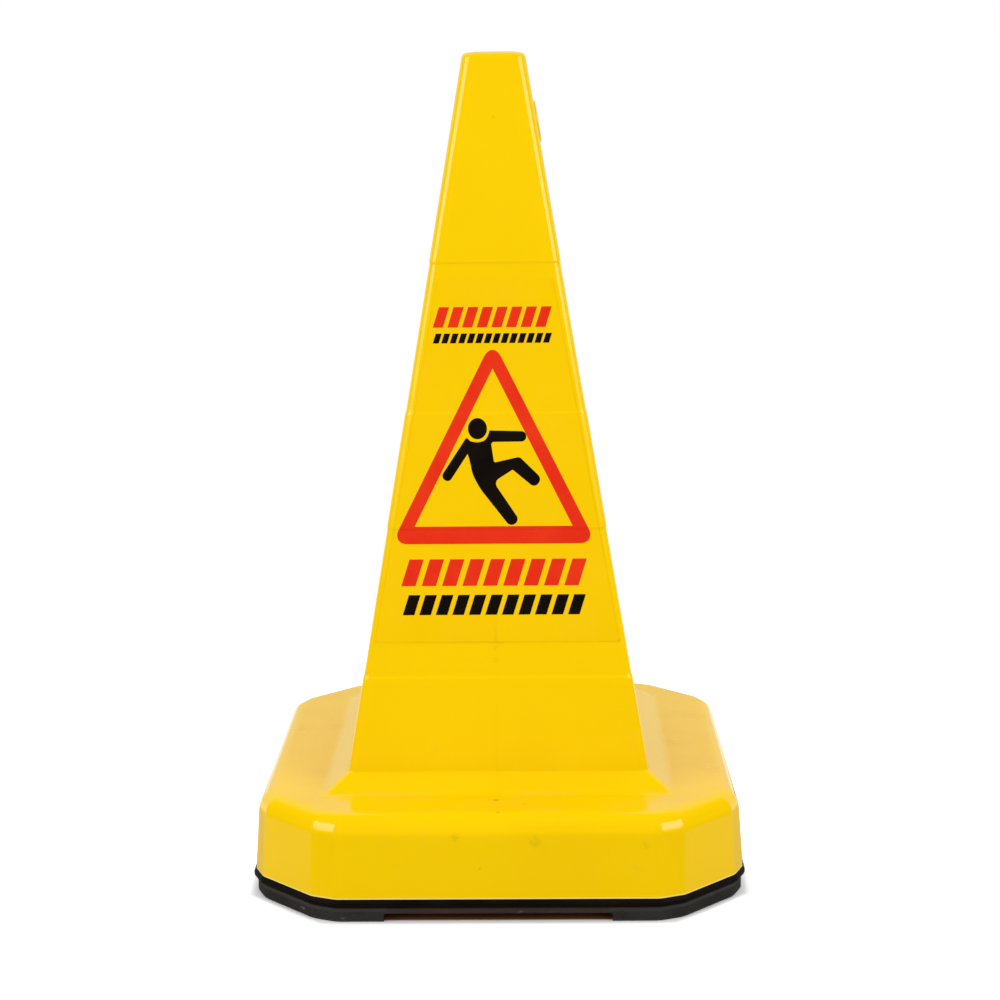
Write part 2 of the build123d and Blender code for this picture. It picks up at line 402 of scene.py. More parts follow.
@dataclass(frozen=True)
class LabelVinyl:
    """Printed label film: smooth yellow vinyl, slightly uneven, with painted shade and dirt along its edges.

    Attributes:
        foot_z: Height of the lower edge.
        head_z: Height of the upper edge.
        foot_half: Half of the width at the lower edge.
        head_half: Half of the width at the upper edge.
        edge_shade_width: Width of the painted shade along an edge.
        corner_darkening: Reach of the darkening at the lower corners.
        streak_x: Place of the streak over the parting line.
    """

    foot_z: float
    head_z: float
    foot_half: float
    head_half: float
    colour: Colour = (0.924, 0.577, 0.0004)
    deep: Colour = (0.902, 0.558, 0.0004)
    # dirt: colour of the painted shade along the edges, of the darkening at the lower corners and of the
    # stain over the parting line
    dirt: Colour = (0.50, 0.26, 0.0)
    edge_shade_width: float = 1.3 * MM
    corner_darkening: float = 3.5 * MM
    streak_x: float = -1.2 * MM
    streak_half: float = 2.4 * MM
    streak_top: float = 24.0 * MM
    foot_shade_share: float = 0.20
    right_shade_share: float = 0.18
    left_shade_share: float = 0.08
    corner_darkening_share: float = 0.5
    streak_share: float = 0.20
    specular: float = 0.42
    smooth_roughness: float = 0.08
    worn_roughness: float = 0.13
    drift: Cloud = Cloud(11.0, 3.0, 0.34, 0.70)
    edge_patchiness: Cloud = Cloud(90.0, 3.0, 0.25, 0.55)
    least_patchiness: float = 0.3
    wear: Cloud = Cloud(30.0, 3.0, 0.3, 0.8)

    def shaded_and_soiled_edges(self, nodes: Nodes) -> NodeSocket:
        """How much painted shade and dirt darken the film along its edges.

        Args:
            nodes: Nodes of the film's material.

        Returns:
            The share of painted shade and dirt, from 0 to 1.
        """
        x, _, z = nodes.axes()
        up = nodes.math("SUBTRACT", z, self.foot_z)
        narrowing = (self.foot_half - self.head_half) / (self.head_z - self.foot_z)
        half = nodes.math("SUBTRACT", self.foot_half, nodes.times(up, narrowing))
        from_right = nodes.math("SUBTRACT", half, x)
        from_left = nodes.math("ADD", half, x)
        from_side = nodes.math("SUBTRACT", half, nodes.math("ABSOLUTE", x))
        aside = nodes.math("ABSOLUTE", nodes.math("SUBTRACT", x, self.streak_x))
        # Painted shade: dark lines along the lower and side edges stand in for the shadow under the film's
        # edge; the streak is a stain.
        return nodes.most(
            nodes.times(nodes.fade(up, self.edge_shade_width), self.foot_shade_share),
            nodes.times(nodes.fade(from_right, self.edge_shade_width), self.right_shade_share),
            nodes.times(nodes.fade(from_left, self.edge_shade_width), self.left_shade_share),
            nodes.times(
                nodes.fade(from_side, self.corner_darkening), nodes.fade(up, self.corner_darkening), self.corner_darkening_share
            ),
            nodes.times(
                nodes.fade(aside, self.streak_half), nodes.fade(up, self.streak_top), self.streak_share
            ),
        )

    def material(self) -> Material:
        """Make the yellow ground of the label.

        Returns:
            The material.
        """
        nodes = Nodes.of_material("label_vinyl")
        # Painted shade along the edges, mixed with dirt and a stain.
        soiled = nodes.times(self.shaded_and_soiled_edges(nodes), nodes.cloud(self.edge_patchiness, self.least_patchiness))
        colour = nodes.blend(soiled, nodes.blend(nodes.cloud(self.drift), self.colour, self.deep), self.dirt)
        rough = nodes.cloud(self.wear, self.smooth_roughness, self.worn_roughness)
        ripple = nodes.bump(FILM_RIPPLE)
        return nodes.surface(
            Base_Color=colour, Roughness=rough, Normal=ripple, Specular_IOR_Level=self.specular
        )


@dataclass(frozen=True)
class PrintInk:
    """Screen-printed ink, with a fine mottle where it lies thinner."""

    name: str
    colour: Colour
    thin: Colour
    thin_share: float = 0.6
    specular: float = 0.20
    roughness: float = 0.20
    thin_roughness: float = 0.32
    mottle: Cloud = Cloud(420.0, 4.0, 0.52, 0.82)
    drift: Cloud = Cloud(30.0, 2.0, 0.30, 0.75)

    def material(self) -> Material:
        """Make the ink.

        Returns:
            The material.
        """
        nodes = Nodes.of_material(self.name)
        mottle = nodes.cloud(self.mottle)
        share = nodes.times(nodes.most(mottle, nodes.cloud(self.drift)), self.thin_share)
        colour = nodes.blend(share, self.colour, self.thin)
        rough = nodes.window(mottle, 0.0, 1.0, self.roughness, self.thin_roughness)
        ripple = nodes.bump(FILM_RIPPLE)
        return nodes.surface(
            Base_Color=colour, Roughness=rough, Normal=ripple, Specular_IOR_Level=self.specular
        )


@dataclass(frozen=True)
class Rubber:
    """Black rubber with dust in its grain, paler scuffs and painted highlights along chosen edges.

    Attributes:
        painted_edge_highlights: Heights at which a painted highlight on an edge starts, and at which it is
            there in full.
        bar: Colour of the bars between the corners, where it differs.
        bar_half: Half of the length of a bar.
        bar_fade: Length over which its colour fades.
    """

    name: str
    colour: Colour
    dust_and_highlight: Colour
    scuff: Colour
    scuff_share: float
    roughness: float
    specular: float
    painted_edge_highlights: tuple[Point, ...] = ()
    bar: Colour | None = None
    bar_half: float = 90.0 * MM
    bar_fade: float = 4.0 * MM
    bar_share: float = 0.8
    dust_share: float = 0.5
    rougher: float = 0.2
    drift: Cloud = Cloud(26.0, 4.0, 0.32, 0.72)
    crumbs: Cloud = Cloud(900.0, 3.0, 0.45, 0.75)
    rubbing: Cloud = Cloud(85.0, 5.0, 0.63, 0.74, (1.0, 1.0, 2.5))
    grain: Relief = Relief(1100.0, 3.0, 0.05 * MM)

    def on_bars(self, nodes: Nodes) -> NodeSocket:
        """Share of the colour of the bars between the corners, from 0 to 1.

        Args:
            nodes: Nodes of the rubber's material.

        Returns:
            The share.
        """
        x, y, _ = nodes.axes()
        near = nodes.math("MINIMUM", nodes.math("ABSOLUTE", x), nodes.math("ABSOLUTE", y))
        return nodes.times(nodes.window(near, self.bar_half, self.bar_half - self.bar_fade), self.bar_share)

    def material(self) -> Material:
        """Make the rubber.

        Returns:
            The material.
        """
        nodes = Nodes.of_material(self.name)
        drift = nodes.cloud(self.drift)
        dust_and_highlight_share = nodes.times(nodes.math("ADD", drift, nodes.cloud(self.crumbs)), self.dust_share)
        height = nodes.axes()[2]
        # Painted highlight: paler bands at the given heights stand in for light caught by rounded edges.
        for unlit_z, lit_z in self.painted_edge_highlights:
            dust_and_highlight_share = nodes.math("ADD", dust_and_highlight_share, nodes.window(height, unlit_z, lit_z))
        colour = nodes.blend(dust_and_highlight_share, self.colour, self.dust_and_highlight)
        if self.bar is not None:
            colour = nodes.blend(self.on_bars(nodes), colour, self.bar)
        worn = nodes.blend(nodes.times(nodes.cloud(self.rubbing), self.scuff_share), colour, self.scuff)
        rough = nodes.window(drift, 0.0, 1.0, self.roughness, self.roughness + self.rougher)
        grain = nodes.bump(self.grain)
        return nodes.surface(Base_Color=worn, Roughness=rough, Normal=grain, Specular_IOR_Level=self.specular)


@dataclass(frozen=True)
class PlainMetal:
    """Bare metal of the hidden fixings, dulled in patches."""

    name: str
    colour: Colour
    dull: Colour
    roughness: float
    rougher: float = 0.22
    patches: Cloud = Cloud(220.0, 4.0, 0.35, 0.70)
    grain: Relief = Relief(2600.0, 2.0, 0.01 * MM)

    def material(self) -> Material:
        """Make the metal.

        Returns:
            The material.
        """
        nodes = Nodes.of_material(self.name)
        patches = nodes.cloud(self.patches)
        colour = nodes.blend(patches, self.colour, self.dull)
        rough = nodes.window(patches, 0.0, 1.0, self.roughness, self.roughness + self.rougher)
        return nodes.surface(Base_Color=colour, Roughness=rough, Normal=nodes.bump(self.grain), Metallic=1.0)


@dataclass(frozen=True)
class Corner:
    """One corner of an upright profile.

    Attributes:
        out: Distance from the axis, or inset from the outline of the base.
        z: Height above the floor.
        rounding: Radius that rounds the corner, or 0.
        plan: Corner radius of the outline there, seen from above.
    """

    out: float
    z: float
    rounding: float = 0.0
    plan: float = 0.0


def rounded_profile(corners: Sequence[Corner], segments: int) -> list[Corner]:
    """Round the corners of an upright profile with arcs.

    Args:
        corners: Corners of the profile, in order.
        segments: Straight pieces in each arc.

    Returns:
        The points of the rounded profile.
    """
    points = [corners[0]]
    for before, corner, after in zip(corners, corners[1:], corners[2:]):
        if not corner.rounding:
            points.append(corner)
            continue
        here = Vector((corner.out, corner.z))
        back = (Vector((before.out, before.z)) - here).normalized()
        ahead = (Vector((after.out, after.z)) - here).normalized()
        half_angle = back.angle(ahead) / 2
        bisector = (back + ahead).normalized()
        centre = here + bisector * corner.rounding / math.sin(half_angle)
        start = here + back * corner.rounding / math.tan(half_angle) - centre
        turn = start.angle_signed(here + ahead * corner.rounding / math.tan(half_angle) - centre)
        for step in range(segments + 1):
            spoke = Matrix.Rotation(-turn * step / segments, 2) @ start
            points.append(Corner(centre.x + spoke.x, centre.y + spoke.y, 0.0, corner.plan))
    return [*points, corners[-1]]


class PieceMesh:
    """One mesh that is being modelled, with the steps that the pieces share."""

    def __init__(self) -> None:
        """Start with nothing."""
        self.bm = bmesh.new()

    def ring(self, half: float, z: float, cuts: Sequence[tuple[float, int]]) -> list[BMEdge]:
        """Closed outline of a square about the axis, with cut or rounded corners.

        Args:
            half: Half of the square's width.
            z: Height of the outline.
            cuts: Length and segments of each round of corner cuts, one after the other.

        Returns:
            The edges of the outline.
        """
        level = Matrix.Translation((0.0, 0.0, z))
        made = bmesh.ops.create_grid(self.bm, x_segments=1, y_segments=1, size=half, matrix=level)
        corners = made["verts"]
        for length, segments in cuts:
            corners = self.soften_corners(corners, length, segments)
        face = corners[0].link_faces[0]
        edges = list(face.edges)
        bmesh.ops.delete(self.bm, geom=[face], context="FACES_ONLY")
        return edges

    def soften_corners(self, corners: Sequence[BMVert], length: float, segments: int) -> list[BMVert]:
        """Cut the corners of a flat face, or round them with more segments.

        Args:
            corners: Corners of the face.
            length: Length that is taken off along the edges beside a corner.
            segments: Straight pieces in each new corner.

        Returns:
            The corners that take their place.
        """
        return bmesh.ops.bevel(
            self.bm, geom=list(corners), offset=length, offset_type="OFFSET", segments=segments,
            profile=0.5, affect="VERTICES", material=-1,
        )["verts"]

    def soften_edges(self, edges: Sequence[BMEdge], length: float, segments: int) -> None:
        """Round edges of the mesh.

        Args:
            edges: Edges to round.
            length: Length that is taken off the faces beside an edge.
            segments: Straight pieces in each rounding.
        """
        bmesh.ops.bevel(
            self.bm, geom=list(edges), offset=length, offset_type="OFFSET", segments=segments,
            profile=0.5, affect="EDGES", clamp_overlap=True, material=-1,
        )

    def wall(self, *rings: Sequence[BMEdge]) -> None:
        """Join outlines one after the other with faces, flat where both are on one level.

        Args:
            rings: Outlines, in order.
        """
        for first, second in zip(rings, rings[1:]):
            edges = [*first, *second]
            rise = second[0].verts[0].co.z - first[0].verts[0].co.z
            if abs(rise) <= LEVEL_TOLERANCE:
                bmesh.ops.triangle_fill(self.bm, use_beauty=True, edges=edges)
            else:
                bmesh.ops.bridge_loops(self.bm, edges=edges)

    def cap(self, ring: Sequence[BMEdge]) -> None:
        """Close an outline with one face."""
        bmesh.ops.edgeloop_fill(self.bm, edges=list(ring))

    def turn_outwards(self) -> None:
        """Make all faces point outwards."""
        bmesh.ops.recalc_face_normals(self.bm, faces=list(self.bm.faces))

    def cut(self, point: Vector, normal: Vector) -> list[BMVert]:
        """Cut the whole mesh along a plane, without taking anything away.

        Args:
            point: Point on the plane.
            normal: Normal of the plane.

        Returns:
            The corners on the plane.
        """
        everything = [*self.bm.verts, *self.bm.edges, *self.bm.faces]
        made = bmesh.ops.bisect_plane(
            self.bm, geom=everything, plane_co=point, plane_no=normal, dist=CUT_TOLERANCE
        )
        return [item for item in made["geom_cut"] if isinstance(item, BMVert)]

    def cut_grid(self, low: Point, high: Point, spacing: float) -> None:
        """Cut a flat piece into a grid of small faces.

        Args:
            low: Lower left corner of the grid.
            high: Upper right corner of the grid.
            spacing: Distance between the cuts.
        """
        for axis, normal in enumerate((RIGHT, DRAWING_UP)):
            count = round((high[axis] - low[axis]) / spacing)
            for step in range(1, count):
                self.cut(normal * (low[axis] + step * (high[axis] - low[axis]) / count), normal)

    def thicken(self, thickness: float) -> None:
        """Give a sheet its thickness on the side that its faces point away from."""
        bmesh.ops.solidify(self.bm, geom=list(self.bm.faces), thickness=thickness)

    def to_piece(self, name: str, finish: Material, crease_degrees: float = 40.0) -> Object:
        """Make the finished piece, riding on the part.

        Args:
            name: Name of the piece.
            finish: Material of the piece.
            crease_degrees: Angle from which an edge between faces stays sharp.

        Returns:
            The piece.
        """
        mesh = bpy.data.meshes.new(name)
        self.bm.normal_update()
        self.bm.to_mesh(mesh)
        self.bm.free()
        mesh.materials.append(finish)
        mesh.shade_smooth()
        mesh.set_sharp_from_angle(angle=math.radians(crease_degrees))
        piece = bpy.data.objects.new(name, mesh)
        bpy.context.scene.collection.objects.link(piece)
        normals = piece.modifiers.new("flat_faces_stay_flat", "WEIGHTED_NORMAL")
        normals.keep_sharp = True
        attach(piece, BODY)
        log.info("piece %s: %d faces", name, len(mesh.polygons))
        return piece


@dataclass
class ConeForm:
    """Levels and widths of the moulding that the shell, the label and the base share."""

    corner_cut: float = 60.0 * MM
    facet_cut: float = 11.7 * MM
    facet_softness: float = 2.8 * MM
    facet_segments: int = 5
    skirt_height: float = 57.5 * MM
    shoulder_height: float = 13.8 * MM
    apron_height: float = 13.4 * MM
    skirt_draft: float = 4.1 * MM
    shoulder_inset: float = 5.4 * MM
    deck_ledge: float = 48.5 * MM
    apron_run: float = 19.1 * MM
    top_half: float = 25.5 * MM
    foot_corner: float = 5.5 * MM
    top_corner: float = 9.3 * MM
    corner_segments: int = 8
    band_depth: float = 0.55 * MM
    band_ramp: float = 2.5 * MM
    lip_run: float = 1.8 * MM
    lower_tier: float = 74.9 * MM
    lower_band: float = 121.2 * MM
    middle_tier: float = 91.2 * MM
    upper_band: float = 121.8 * MM

    def __post_init__(self) -> None:
        """Take the outer sizes from the frame and work out the levels between them."""
        low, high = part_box("cone_shell")
        self.rim_z = low.z
        self.top_z = high.z
        self.skirt_half = -low.x
        self.shoulder_z = self.rim_z + self.skirt_height
        self.deck_z = self.shoulder_z + self.shoulder_height
        self.foot_z = self.deck_z + self.apron_height
        self.lower_band_z = self.foot_z + self.lower_tier
        self.middle_tier_z = self.lower_band_z + self.lower_band
        self.upper_band_z = self.middle_tier_z + self.middle_tier
        self.top_tier_z = self.upper_band_z + self.upper_band
        self.deck_inset = self.skirt_draft + self.shoulder_inset
        self.apron_half = self.skirt_half - self.deck_inset - self.deck_ledge
        self.foot_half = self.apron_half - self.apron_run
        self.taper = (self.foot_half - self.top_half) / (self.top_z - self.foot_z)

    def face(self, z: float, depth: float = 0.0) -> float:
        """Distance from the axis to a face of the cone at a height, let in by a depth."""
        return self.foot_half - self.taper * (z - self.foot_z) - depth

    def corner(self, z: float) -> float:
        """Corner radius of the cone at a height, larger towards its top."""
        share = (z - self.foot_z) / (self.top_z - self.foot_z)
        return self.foot_corner + share * (self.top_corner - self.foot_corner)

    def at(self, z: float, rounding: float, depth: float = 0.0) -> Corner:
        """Rounded profile corner on a face of the cone at a height, let in by a depth."""
        return Corner(self.face(z, depth), z, rounding, self.corner(z) - depth)

    def plan_rings(self, mesh: PieceMesh, places: Sequence[Point]) -> list[list[BMEdge]]:
        """Outlines of the base, moved in by the same distance on every side.

        Args:
            mesh: Mesh that gets the outlines.
            places: Distance that each outline is moved in, and its height.

        Returns:
            The edges of each outline.
        """
        corner_loss = 2.0 - math.sqrt(2.0)
        facet_loss = math.tan(math.pi / 8) - math.tan(math.pi / 16)
        rings = []
        for inset, z in places:
            corner = (self.corner_cut - corner_loss * inset, 1)
            facet = (self.facet_cut - facet_loss * inset, 1)
            softness = (self.facet_softness, self.facet_segments)
            rings.append(mesh.ring(self.skirt_half - inset, z, (corner, facet, softness)))
        return rings

    def square_ring(self, mesh: PieceMesh, half: float, z: float, radius: float) -> list[BMEdge]:
        """Outline of the cone at a height: a square with rounded corners."""
        return mesh.ring(half, z, ((radius, self.corner_segments),))


@dataclass
class ConeShell:
    """The hollow yellow moulding: skirt, deck, apron, stepped cone, boss and the walls inside."""

    form: ConeForm
    wall: float = 3.0 * MM
    rim_flange: float = 25.0 * MM
    rim_rounding: float = 1.2 * MM
    shoulder_rounding: float = 16.0 * MM
    deck_rounding: float = 14.0 * MM
    apron_rounding: float = 12.0 * MM
    foot_rounding: float = 1.8 * MM
    ramp_rounding: float = 4.0 * MM
    lip_rounding: float = 1.2 * MM
    top_rounding: float = 4.6 * MM
    crown_rise: float = 1.2 * MM
    crown_half: float = 16.0 * MM
    arc_segments: int = 6
    deck_strip: float = 14.0 * MM
    core_radius: float = 3.0 * MM
    parting_half: float = 0.45 * MM
    parting_proud: float = 0.22 * MM
    boss_radius: float = 17.0 * MM
    boss_draft: float = 0.7 * MM
    boss_proud: float = 1.5 * MM
    boss_root: float = 1.0 * MM
    boss_below_top: float = 55.3 * MM
    boss_segments: int = 48
    boss_softness: float = 1.2 * MM
    boss_soft_segments: int = 4
    boss_top_margin: float = 0.1 * MM

    def base_profile(self) -> list[Corner]:
        """Upright profile of the base, from its rim over the shoulder on to the deck.

        Returns:
            The points of the profile, each as its inset from the outline of the base.
        """
        form = self.form
        corners = (
            Corner(self.rim_rounding, form.rim_z),
            Corner(0.0, form.rim_z, self.rim_rounding / 2),
            Corner(form.skirt_draft, form.shoulder_z, self.shoulder_rounding),
            Corner(form.deck_inset, form.deck_z, self.deck_rounding),
            Corner(form.deck_inset + self.deck_strip, form.deck_z),
        )
        return rounded_profile(corners, self.arc_segments)

    def cone_profile(self) -> list[Corner]:
        """Upright profile of the apron and the stepped cone, from the deck to the top.

        Returns:
            The points of the profile, each as its distance from the axis.
        """
        form = self.form
        depth = form.band_depth
        corners = [
            Corner(form.apron_half + self.deck_strip, form.deck_z, 0.0, form.foot_corner + self.deck_strip),
            Corner(form.apron_half, form.deck_z, self.apron_rounding, form.foot_corner),
            form.at(form.foot_z, self.foot_rounding),
        ]
        for band_z, lip_z in ((form.lower_band_z, form.middle_tier_z), (form.upper_band_z, form.top_tier_z)):
            corners.append(form.at(band_z, self.ramp_rounding))
            corners.append(form.at(band_z + form.band_ramp, self.ramp_rounding, depth))
            corners.append(form.at(lip_z - form.lip_run, self.lip_rounding, depth))
            corners.append(form.at(lip_z, self.lip_rounding))
        corners.append(form.at(form.top_z, self.top_rounding))
        crown_corner = form.top_corner - self.top_rounding
        corners.append(Corner(self.crown_half, form.top_z + self.crown_rise, 0.0, crown_corner))
        return rounded_profile(corners, self.arc_segments)

    def outside(self, mesh: PieceMesh) -> None:
        """Model the outer skin from the rim up to the closed top.

        Args:
            mesh: Mesh that gets the skin.
        """
        form = self.form
        base = form.plan_rings(mesh, [(point.out, point.z) for point in self.base_profile()])
        cone = [form.square_ring(mesh, point.out, point.z, point.plan) for point in self.cone_profile()]
        mesh.wall(*base, *cone)
        mesh.cap(cone[-1])

    def parting_line(self, mesh: PieceMesh) -> None:
        """Raise the ridge where the halves of the mould met, at the foot of the cone, front and back.

        Args:
            mesh: Mesh with the outer skin.
        """
        for offset in (-self.parting_half, self.parting_half):
            mesh.cut(RIGHT * offset, RIGHT)
        crest = mesh.cut(Vector(), RIGHT)
        mesh.bm.normal_update()
        low = self.form.deck_z + self.parting_half
        high = self.form.middle_tier_z
        for vert in crest:
            if low < vert.co.z < high:
                vert.co += vert.normal * self.parting_proud * (high - vert.co.z) / (high - low)

    def inside(self, mesh: PieceMesh) -> None:
        """Model the rim flange and the inner skin, and join them to the outer skin.

        Args:
            mesh: Mesh with the outer skin, open at the rim.
        """
        form = self.form
        flange_z = form.rim_z + self.wall
        lean = form.skirt_draft * self.wall / form.skirt_height
        shoulder_lean = form.shoulder_inset * self.wall / form.shoulder_height
        rim = [edge for edge in mesh.bm.edges if edge.is_boundary]
        base = form.plan_rings(mesh, (
            (self.wall + self.rim_flange, form.rim_z),
            (self.wall + self.rim_flange, flange_z),
            (self.wall + lean, flange_z),
            (self.wall + form.skirt_draft, form.shoulder_z),
            (self.wall + form.deck_inset - shoulder_lean, form.deck_z - self.wall),
        ))
        levels = ((form.apron_half, form.deck_z), (form.foot_half, form.foot_z), (form.top_half, form.top_z))
        core = [
            form.square_ring(mesh, half - self.wall, z - self.wall, self.core_radius) for half, z in levels
        ]
        mesh.wall(rim, *base, *core)
        mesh.cap(core[-1])

    def boss(self, mesh: PieceMesh) -> None:
        """Model the low round boss on the right-hand face, rooted in the wall.

        Args:
            mesh: Mesh of the shell.
        """
        form = self.form
        z = form.top_z - self.boss_below_top
        height = self.boss_proud + self.boss_root
        stand = Matrix.Rotation(math.pi / 2 - math.atan(form.taper), 4, "Y")
        seat = Matrix.Translation((form.face(z), 0.0, z))
        middle = Matrix.Translation((0.0, 0.0, height / 2 - self.boss_root))
        made = bmesh.ops.create_cone(
            mesh.bm, cap_ends=True, segments=self.boss_segments, radius1=self.boss_radius + self.boss_draft,
            radius2=self.boss_radius, depth=height, matrix=seat @ stand @ middle,
        )
        outward = (stand @ Vector((0.0, 0.0, 1.0))).normalized()
        crown = seat.translation.dot(outward) + self.boss_proud - self.boss_top_margin
        top = [vert for vert in made["verts"] if vert.co.dot(outward) > crown]
        edges = {edge for vert in top for edge in vert.link_edges if edge.other_vert(vert) in top}
        mesh.soften_edges(list(edges), self.boss_softness, self.boss_soft_segments)

    def build(self) -> Object:
        """Model and dress the shell.

        Returns:
            The piece that stands for the moulded shell.
        """
        mesh = PieceMesh()
        self.outside(mesh)
        self.parting_line(mesh)
        self.inside(mesh)
        mesh.turn_outwards()
        self.boss(mesh)
        piece = mesh.to_piece("yellow_shell", MouldedPlastic().material())
        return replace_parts(piece, "cone_shell")


class Drawing(Protocol):
    """Flat drawing that can be printed on the film."""

    def draw(self, mesh: PieceMesh) -> None:
        """Draw it flat on an empty mesh, with x to the right and y up, in metres."""


@dataclass(frozen=True)
class SignTriangle:
    """Red triangle of the sign: a bar of even width with rounded outer corners."""

    base_z: float = 280.8 * MM
    inner_base_z: float = 295.0 * MM
    inner_apex_z: float = 421.3 * MM
    inner_half: float = 64.3 * MM
    side_bar: float = 10.5 * MM
    corner_radius: float = 8.0 * MM
    corner_segments: int = 8

    def draw(self, mesh: PieceMesh) -> None:
        """Draw the triangle flat.

        Args:
            mesh: Empty mesh that gets the drawing.
        """
        lean = math.atan(self.inner_half / (self.inner_apex_z - self.inner_base_z))
        outer_apex_z = self.inner_apex_z + self.side_bar / math.sin(lean)
        outer_half = (outer_apex_z - self.base_z) * math.tan(lean)
        outer = self.triangle(mesh, outer_half, self.base_z, outer_apex_z)
        feet = sorted(outer.verts, key=lambda vert: vert.co.y)[:2]
        foot_cut = self.corner_radius / math.tan((math.pi / 2 - lean) / 2)
        rounded = mesh.soften_corners(feet, foot_cut, self.corner_segments)
        apex = [vert for vert in rounded[0].link_faces[0].verts if vert.co.y > self.inner_apex_z]
        rounded = mesh.soften_corners(apex, self.corner_radius / math.tan(lean), self.corner_segments)
        outer = rounded[0].link_faces[0]
        inner = self.triangle(mesh, self.inner_half, self.inner_base_z, self.inner_apex_z)
        edges = [*outer.edges, *inner.edges]
        bmesh.ops.delete(mesh.bm, geom=[outer, inner], context="FACES_ONLY")
        bmesh.ops.triangle_fill(mesh.bm, use_beauty=True, edges=edges)

    @staticmethod
    def triangle(mesh: PieceMesh, half: float, base_z: float, apex_z: float) -> BMFace:
        """One flat triangle on a level base."""
        corners = ((-half, base_z), (half, base_z), (0.0, apex_z))
        return mesh.bm.faces.new([mesh.bm.verts.new((x, z, 0.0)) for x, z in corners])


@dataclass(frozen=True)
class SlippingFigure:
    """Black figure of the sign: a round head over one outline with rounded limbs.

    Attributes:
        head: Middle of the head in millimetres.
        head_radii: Half of its width and height in millimetres.
        outline: Corners of the body and limbs, each with its rounding, in millimetres.
    """

    head: Point = (-12.6, 373.3)
    head_radii: Point = (7.7, 8.5)
    head_segments: int = 36
    outline: tuple[tuple[float, float, float], ...] = (
        (-21.6, 366.4, 1.6), (-18.6, 363.4, 0.0), (-12.6, 361.9, 3.0), (-6.4, 363.9, 2.0), (-3.6, 368.4, 2.0),
        (-3.0, 371.8, 0.9), (27.0, 371.0, 3.9), (27.0, 362.8, 3.9), (-1.8, 362.6, 2.6), (0.7, 346.0, 1.6),
        (21.4, 350.6, 2.2), (39.6, 332.9, 4.2), (33.6, 325.6, 4.2), (15.8, 340.3, 0.8), (0.2, 330.6, 5.0),
        (21.2, 299.6, 4.4), (13.7, 294.3, 4.4), (-10.8, 325.2, 4.0), (-16.8, 336.4, 4.0), (-18.8, 346.5, 3.0),
        (-20.7, 353.2, 0.7), (-36.2, 330.0, 3.8), (-42.8, 334.6, 3.8),
    )
    corner_segments: int = 6

    def draw(self, mesh: PieceMesh) -> None:
        """Draw the figure flat.

        Args:
            mesh: Empty mesh that gets the drawing.
        """
        corners = [mesh.bm.verts.new((x * MM, z * MM, 0.0)) for x, z, _ in self.outline]
        mesh.bm.faces.new(corners)
        for corner, (_, _, rounding) in zip(corners, self.outline):
            if rounding:
                mesh.soften_corners([corner], rounding * MM, self.corner_segments)
        seat = Matrix.Translation((self.head[0] * MM, self.head[1] * MM, 0.0))
        oval = Matrix.Diagonal((self.head_radii[0] * MM, self.head_radii[1] * MM, 1.0, 1.0))
        bmesh.ops.create_circle(
            mesh.bm, cap_ends=True, segments=self.head_segments, radius=1.0, matrix=seat @ oval
        )


@dataclass(frozen=True)
class BlockRow:
    """One row of slanted blocks printed across the film."""

    base_z: float
    top_z: float
    half: float
    count: int
    gap_share: float = 0.30
    slant: float = 0.32

    def draw(self, mesh: PieceMesh) -> None:
        """Draw the row flat.

        Args:
            mesh: Mesh that gets the drawing.
        """
        shift = self.slant * (self.top_z - self.base_z)
        pitch = (2.0 * self.half - shift) / (self.count - self.gap_share)
        block = pitch * (1.0 - self.gap_share)
        for index in range(self.count):
            left = -self.half + index * pitch
            lower = ((left, self.base_z), (left + block, self.base_z))
            upper = ((left + block + shift, self.top_z), (left + shift, self.top_z))
            mesh.bm.faces.new([mesh.bm.verts.new((x, z, 0.0)) for x, z in (*lower, *upper)])


@dataclass(frozen=True)
class BlockRows:
    """Rows of slanted blocks in one ink."""

    rows: tuple[BlockRow, ...]

    def draw(self, mesh: PieceMesh) -> None:
        """Draw the rows flat."""
        for row in self.rows:
            row.draw(mesh)


RED_BLOCKS = BlockRows((
    BlockRow(454.2 * MM, 470.6 * MM, 48.4 * MM, 8),
    BlockRow(247.1 * MM, 268.6 * MM, 75.6 * MM, 9),
))
BLACK_BLOCKS = BlockRows((
    BlockRow(441.6 * MM, 449.4 * MM, 48.4 * MM, 14),
    BlockRow(223.8 * MM, 239.9 * MM, 74.6 * MM, 11),
))


